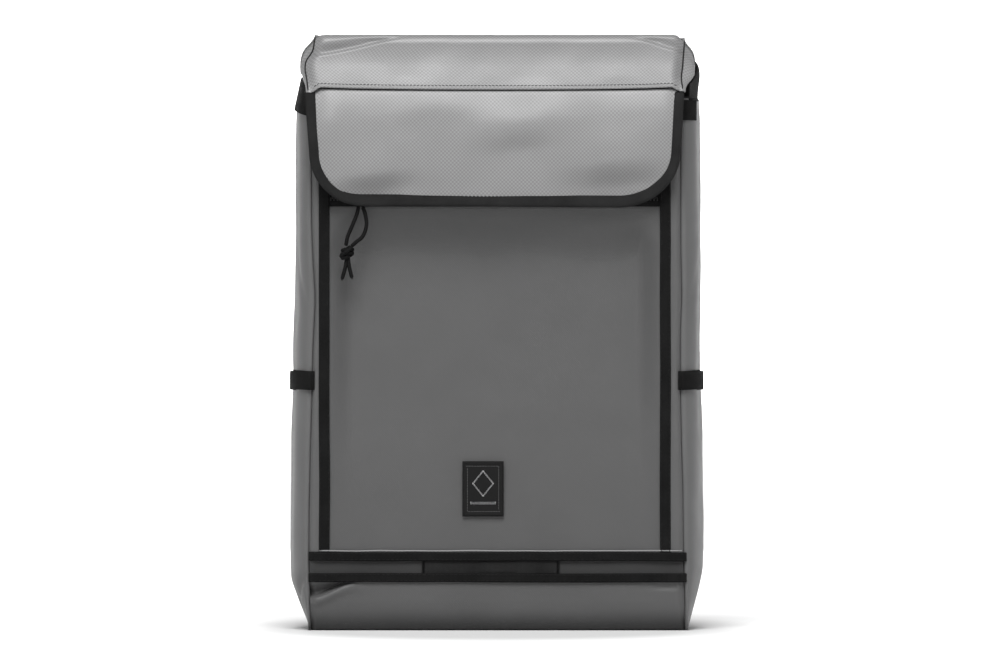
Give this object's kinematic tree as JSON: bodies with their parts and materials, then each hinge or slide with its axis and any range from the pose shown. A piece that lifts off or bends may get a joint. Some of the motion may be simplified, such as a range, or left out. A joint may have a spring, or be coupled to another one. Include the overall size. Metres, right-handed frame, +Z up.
{
  "type": "daypack",
  "caption": "Box-shaped daypack in coated grey cloth with a hinged lid and front flap, zipped front pocket, side straps, padded shoulder straps and a haul handle.",
  "frame": {"origin": "centre of the flat base, on the surface the pack stands on", "axes": "+Z up, -Y towards the pack's front, +X to the right seen from the front"},
  "size_m": [0.349, 0.2257, 0.501],
  "materials": {
    "panel_grey": "smooth coated dark grey pack cloth",
    "side_grey": "coated grey pack cloth, softly wrinkled",
    "flap_grey": "light grey tarpaulin with a fine diamond weave",
    "webbing": "matte black woven webbing",
    "black_fabric": "matte black pack cloth",
    "liner": "coated lining cloth",
    "spacer_mesh": "black air mesh over foam",
    "board": "thin stiffening sheet",
    "cord": "round braided black cord",
    "zip_metal": "black enamelled metal",
    "black_plastic": "moulded black plastic"
  },
  "bodies": {
    "pack": {"front_panel": "panel_grey", "front_yoke_panel": "panel_grey", "front_border_left": "panel_grey", "front_border_right": "panel_grey", "lash_strip": "panel_grey", "bottom_panel": "side_grey", "bottom_front_panel": "side_grey", "side_panel_left": "side_grey", "side_panel_right": "side_grey", "lash_band_lower": "webbing", "lash_band_upper": "webbing", "lash_patch": "webbing", "closure_loop_strip": "webbing", "plain_patch": "webbing", "front_tape_left": "webbing", "front_tape_right": "webbing", "lower_webbing_left": "webbing", "lower_webbing_right": "webbing", "strap_anchor_left": "webbing", "strap_anchor_right": "webbing", "side_loop_left": "webbing", "side_loop_right": "webbing", "upper_side_tab_left": "webbing", "upper_side_tab_right": "webbing", "front_zip": "black_fabric", "collar_left": "black_fabric", "collar_right": "black_fabric", "back_panel": "black_fabric", "pocket_inner_wall": "liner", "laptop_sleeve": "liner", "main_liner": "liner", "back_pad_left": "spacer_mesh", "back_pad_right": "spacer_mesh", "base_stiffener": "board", "frame_sheet": "board"},
    "lid": {"lid_top_panel": "flap_grey", "lid_gusset_left": "flap_grey", "lid_gusset_right": "flap_grey"},
    "flap": {"flap_panel": "flap_grey", "flap_binding": "webbing", "closure_hook_strip": "webbing"},
    "zip_slider": {"zip_slider": "zip_metal"},
    "zip_pull": {"pull_cord_left": "cord", "pull_cord_right": "cord", "pull_knot": "cord"},
    "haul_handle": {"haul_handle": "webbing"},
    "left_shoulder_strap": {"shoulder_strap_left": "spacer_mesh", "ladder_lock_left": "black_plastic"},
    "left_sternum": {"sternum_slider_left": "black_plastic", "sternum_webbing_left": "webbing", "sternum_buckle_left": "black_plastic"},
    "left_side_strap": {"side_strap_left": "webbing", "side_hook_left": "black_plastic"},
    "right_shoulder_strap": {"shoulder_strap_right": "spacer_mesh", "ladder_lock_right": "black_plastic"},
    "right_sternum": {"sternum_slider_right": "black_plastic", "sternum_webbing_right": "webbing", "sternum_buckle_right": "black_plastic"},
    "right_side_strap": {"side_strap_right": "webbing", "side_hook_right": "black_plastic"}
  },
  "joints": [
    {"name": "lid_hinge", "type": "hinge", "parent": "pack", "child": "lid", "pos_m": [0, 0.0722, 0.4785], "axis": [-1, 0, 0], "range_deg": [0, 95]},
    {"name": "flap_hinge", "type": "hinge", "parent": "lid", "child": "flap", "pos_m": [0, -0.091, 0.456], "axis": [-1, 0, 0], "range_deg": [0, 95]},
    {"name": "zip_travel", "type": "slide", "parent": "pack", "child": "zip_slider", "axis": [1, 0, 0], "range_m": [0, 0.245]},
    {"name": "pull_swing", "type": "hinge", "parent": "zip_slider", "child": "zip_pull", "pos_m": [-0.115, -0.0835, 0.3585], "axis": [0, 1, 0], "range_deg": [-30, 30]},
    {"name": "handle_hinge", "type": "hinge", "parent": "pack", "child": "haul_handle", "pos_m": [0, 0.08, 0.4315], "axis": [1, 0, 0], "range_deg": [0, 150]},
    {"name": "left_strap_hinge", "type": "hinge", "parent": "pack", "child": "left_shoulder_strap", "pos_m": [-0.088, 0.0725, 0.431], "axis": [1, 0, 0], "range_deg": [0, 20]},
    {"name": "left_sternum_slide", "type": "slide", "parent": "left_shoulder_strap", "child": "left_sternum", "axis": [-0.0748, 0, -0.9972], "range_m": [-0.03, 0.05]},
    {"name": "left_side_strap_hinge", "type": "hinge", "parent": "pack", "child": "left_side_strap", "pos_m": [-0.16653, 0.0635, 0.211], "axis": [0, 0, -1], "range_deg": [0, 70]},
    {"name": "right_strap_hinge", "type": "hinge", "parent": "pack", "child": "right_shoulder_strap", "pos_m": [0.088, 0.0725, 0.431], "axis": [1, 0, 0], "range_deg": [0, 20]},
    {"name": "right_sternum_slide", "type": "slide", "parent": "right_shoulder_strap", "child": "right_sternum", "axis": [0.0748, 0, -0.9972], "range_m": [-0.03, 0.05]},
    {"name": "right_side_strap_hinge", "type": "hinge", "parent": "pack", "child": "right_side_strap", "pos_m": [0.16653, 0.0635, 0.211], "axis": [0, 0, 1], "range_deg": [0, 70]}
  ]
}
